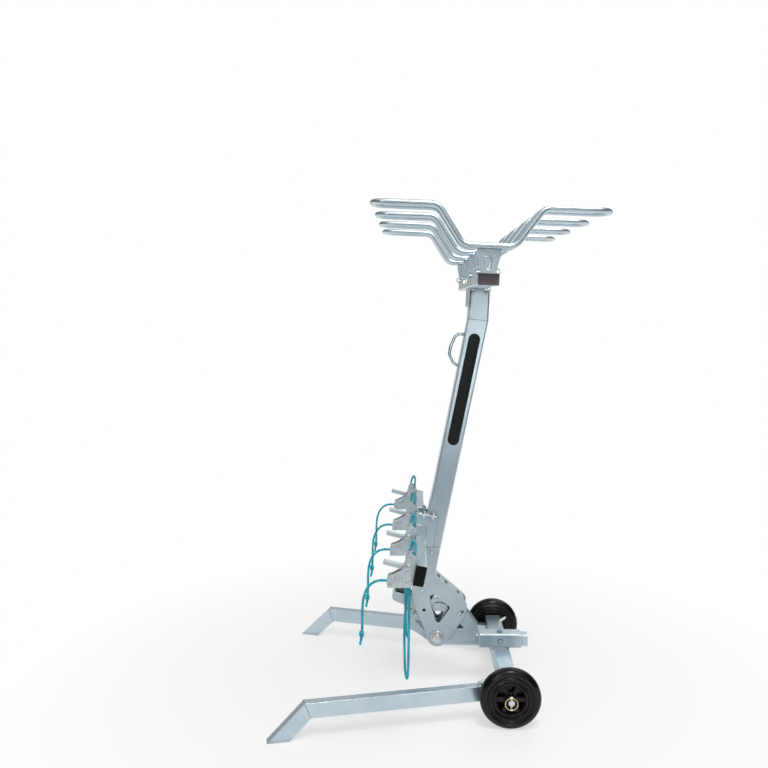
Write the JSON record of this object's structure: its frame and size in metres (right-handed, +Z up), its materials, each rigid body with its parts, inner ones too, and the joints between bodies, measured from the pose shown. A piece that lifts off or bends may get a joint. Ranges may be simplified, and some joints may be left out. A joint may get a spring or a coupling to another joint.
{
  "type": "vertical bicycle hitch rack on a trolley",
  "caption": "Leaning mast with an upper beam of wire wheel cradles and a lower beam of rope tensioners, on a tilt pivot and hitch bar, standing in a two-wheeled trolley.",
  "frame": {"origin": "middle of the footprint of the rigid parts, on the floor", "axes": "+Z up, +X towards the hitch bar's free end and the trolley wheels, +Y along the beams to the far side"},
  "size_m": [1.0304, 1.0556, 1.6748],
  "materials": {
    "zinc_tube": "bright galvanised steel tube, light blue grey, satin",
    "zinc_plate": "galvanised laser-cut steel plate, slightly mottled",
    "bright_steel": "zinc-plated turned steel",
    "yellow_zinc": "yellow passivated zinc plate",
    "black_rubber": "matt black solid rubber",
    "black_plastic": "moulded black plastic",
    "brown_plastic": "brownish dark grey plastic end cap",
    "teal_rope": "braided teal polyester cord"
  },
  "bodies": {
    "trolley": {"trolley_crossbeam": "zinc_tube", "receiver_tube": "zinc_tube", "stinger_tube": "zinc_tube", "leg_left": "zinc_tube", "leg_right": "zinc_tube", "stub_axle_left": "bright_steel", "stub_axle_right": "bright_steel", "linch_pin_left": "yellow_zinc", "linch_pin_right": "yellow_zinc", "base_plate_left": "zinc_plate", "base_plate_right": "zinc_plate", "base_spacer": "bright_steel", "pivot_bolt": "bright_steel"},
    "mast": {"tilt_bracket": "zinc_plate", "mast_tube": "zinc_tube", "mast_handle": "zinc_tube", "mast_head": "zinc_plate", "upper_beam": "zinc_tube", "lower_beam": "zinc_tube", "upper_beam_cap_left": "brown_plastic", "upper_beam_cap_right": "brown_plastic", "lower_beam_cap_left": "black_plastic", "lower_beam_cap_right": "black_plastic", "wheel_cradle_1": "zinc_tube", "wheel_cradle_2": "zinc_tube", "wheel_cradle_3": "zinc_tube", "wheel_cradle_4": "zinc_tube", "cradle_bracket_1": "zinc_plate", "cradle_bracket_2": "zinc_plate", "cradle_bracket_3": "zinc_plate", "cradle_bracket_4": "zinc_plate", "tensioner_frame_1": "zinc_plate", "tensioner_frame_2": "zinc_plate", "tensioner_frame_3": "zinc_plate", "tensioner_frame_4": "zinc_plate", "rope_loop_1": "teal_rope", "rope_loop_2": "teal_rope", "rope_loop_3": "teal_rope", "rope_loop_4": "teal_rope", "rope_tail_1": "teal_rope", "rope_tail_2": "teal_rope", "rope_tail_3": "teal_rope", "rope_tail_4": "teal_rope"},
    "pedal": {"foot_pedal": "zinc_plate", "pedal_grip": "black_rubber"},
    "latch": {"latch_pin": "bright_steel"},
    "wheel_left": {"tyre_left": "black_rubber", "rim_left": "black_plastic"},
    "wheel_right": {"tyre_right": "black_rubber", "rim_right": "black_plastic"},
    "ring_left": {"linch_ring_left": "yellow_zinc"},
    "ring_right": {"linch_ring_right": "yellow_zinc"},
    "hitch_pin": {"hitch_pin": "bright_steel"},
    "clamp_screw": {"clamp_screw": "bright_steel"},
    "lever_1": {"cam_lever_1": "zinc_plate"},
    "lever_2": {"cam_lever_2": "zinc_plate"},
    "lever_3": {"cam_lever_3": "zinc_plate"},
    "lever_4": {"cam_lever_4": "zinc_plate"}
  },
  "joints": [
    {"name": "mast_tilt", "type": "hinge", "parent": "trolley", "child": "mast", "pos_m": [0.03563, 0, 0.187], "axis": [0, -1, 0], "range_deg": [0, 21]},
    {"name": "pedal_press", "type": "hinge", "parent": "mast", "child": "pedal", "pos_m": [-0.01145, 0, 0.28608], "axis": [0, -1, 0], "range_deg": [0, 4.6], "stiffness_Nm_per_rad": 10, "springref_deg": -28.65},
    {"name": "latch_lift", "type": "slide", "parent": "mast", "child": "latch", "axis": [0.682, 0, 0.7314], "range_m": [0, 0.015]},
    {"name": "lever_1_lift", "type": "hinge", "parent": "mast", "child": "lever_1", "pos_m": [-0.06583, -0.4725, 0.59049], "axis": [0, 1, 0], "range_deg": [0, 55]},
    {"name": "lever_2_lift", "type": "hinge", "parent": "mast", "child": "lever_2", "pos_m": [-0.06583, -0.1575, 0.59049], "axis": [0, 1, 0], "range_deg": [0, 55]},
    {"name": "lever_3_lift", "type": "hinge", "parent": "mast", "child": "lever_3", "pos_m": [-0.06583, 0.1575, 0.59049], "axis": [0, 1, 0], "range_deg": [0, 55]},
    {"name": "lever_4_lift", "type": "hinge", "parent": "mast", "child": "lever_4", "pos_m": [-0.06583, 0.4725, 0.59049], "axis": [0, 1, 0], "range_deg": [0, 55]},
    {"name": "wheel_left_roll", "type": "hinge", "parent": "trolley", "child": "wheel_left", "pos_m": [0.26663, -0.314, 0.1], "axis": [0, 1, 0], "continuous": true},
    {"name": "ring_left_open", "type": "hinge", "parent": "trolley", "child": "ring_left", "pos_m": [0.26663, -0.34715, 0.11484], "axis": [-1, 0, 0], "range_deg": [0, 120]},
    {"name": "wheel_right_roll", "type": "hinge", "parent": "trolley", "child": "wheel_right", "pos_m": [0.26663, 0.314, 0.1], "axis": [0, 1, 0], "continuous": true},
    {"name": "ring_right_open", "type": "hinge", "parent": "trolley", "child": "ring_right", "pos_m": [0.26663, 0.34715, 0.11484], "axis": [1, 0, 0], "range_deg": [0, 120]},
    {"name": "hitch_pin_pull", "type": "slide", "parent": "trolley", "child": "hitch_pin", "axis": [0, 1, 0], "range_m": [0, 0.085]},
    {"name": "clamp_screw_turn", "type": "hinge", "parent": "trolley", "child": "clamp_screw", "pos_m": [0.26263, 0, 0.235], "axis": [0, 0, 1], "continuous": true}
  ],
  "couplings": [
    {"joint": "latch_lift", "follows": "pedal_press", "m_per_rad": 0.185}
  ]
}
